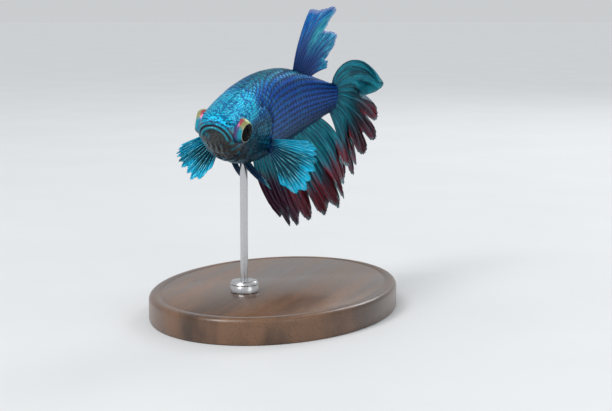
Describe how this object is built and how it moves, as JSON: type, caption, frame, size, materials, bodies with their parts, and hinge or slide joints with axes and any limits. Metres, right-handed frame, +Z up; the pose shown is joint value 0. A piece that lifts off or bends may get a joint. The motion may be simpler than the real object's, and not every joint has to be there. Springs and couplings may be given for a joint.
{
  "type": "betta fish model on a display stand",
  "caption": "Life-size still model of a swimming male betta, or Siamese fighting fish, with spread fins and a leafy tail, held up by a rod on an oval display base.",
  "frame": {"origin": "middle of the underside of the stand's base", "axes": "+Z up; the fish's nose points along -Y and its tail towards +Y; +X is the fish's left side; the fish is banked with its left side down"},
  "size_m": [0.038, 0.0561, 0.0485],
  "materials": {
    "scaly_skin": "small overlapping scales, bright turquoise on the forehead and nape, royal blue on the flanks with pale blue-green edges, brownish grey on the chin",
    "eye": "glossy clear cornea over a black pupil and an iris of red, gold and turquoise",
    "dorsal_fin": "royal blue membrane with pale cyan rays and a lilac-white edge",
    "anal_fin": "teal at the base, crimson and dark purple towards the edge, with pale ray tips",
    "caudal_fin": "teal with fine rays, red and pinkish grey towards the tips",
    "pectoral_fin": "bright cyan rays with darker teal membrane between them",
    "pelvic_fin": "dark blue with a teal glint",
    "steel": "satin",
    "walnut": "oiled dark walnut"
  },
  "bodies": {
    "root": {"head": "scaly_skin", "lower_jaw": "scaly_skin", "gill_cover_left": "scaly_skin", "gill_cover_right": "scaly_skin", "trunk_front": "scaly_skin", "trunk_rear": "scaly_skin", "tail_stalk": "scaly_skin", "eye_left": "eye", "eye_right": "eye", "dorsal_fin": "dorsal_fin", "anal_fin": "anal_fin", "caudal_fin": "caudal_fin", "pectoral_fin_left": "pectoral_fin", "pectoral_fin_right": "pectoral_fin", "pelvic_fin_left": "pelvic_fin", "pelvic_fin_right": "pelvic_fin", "stand_rod": "steel", "stand_ferrule": "steel", "stand_base": "walnut"}
  },
  "joints": []
}
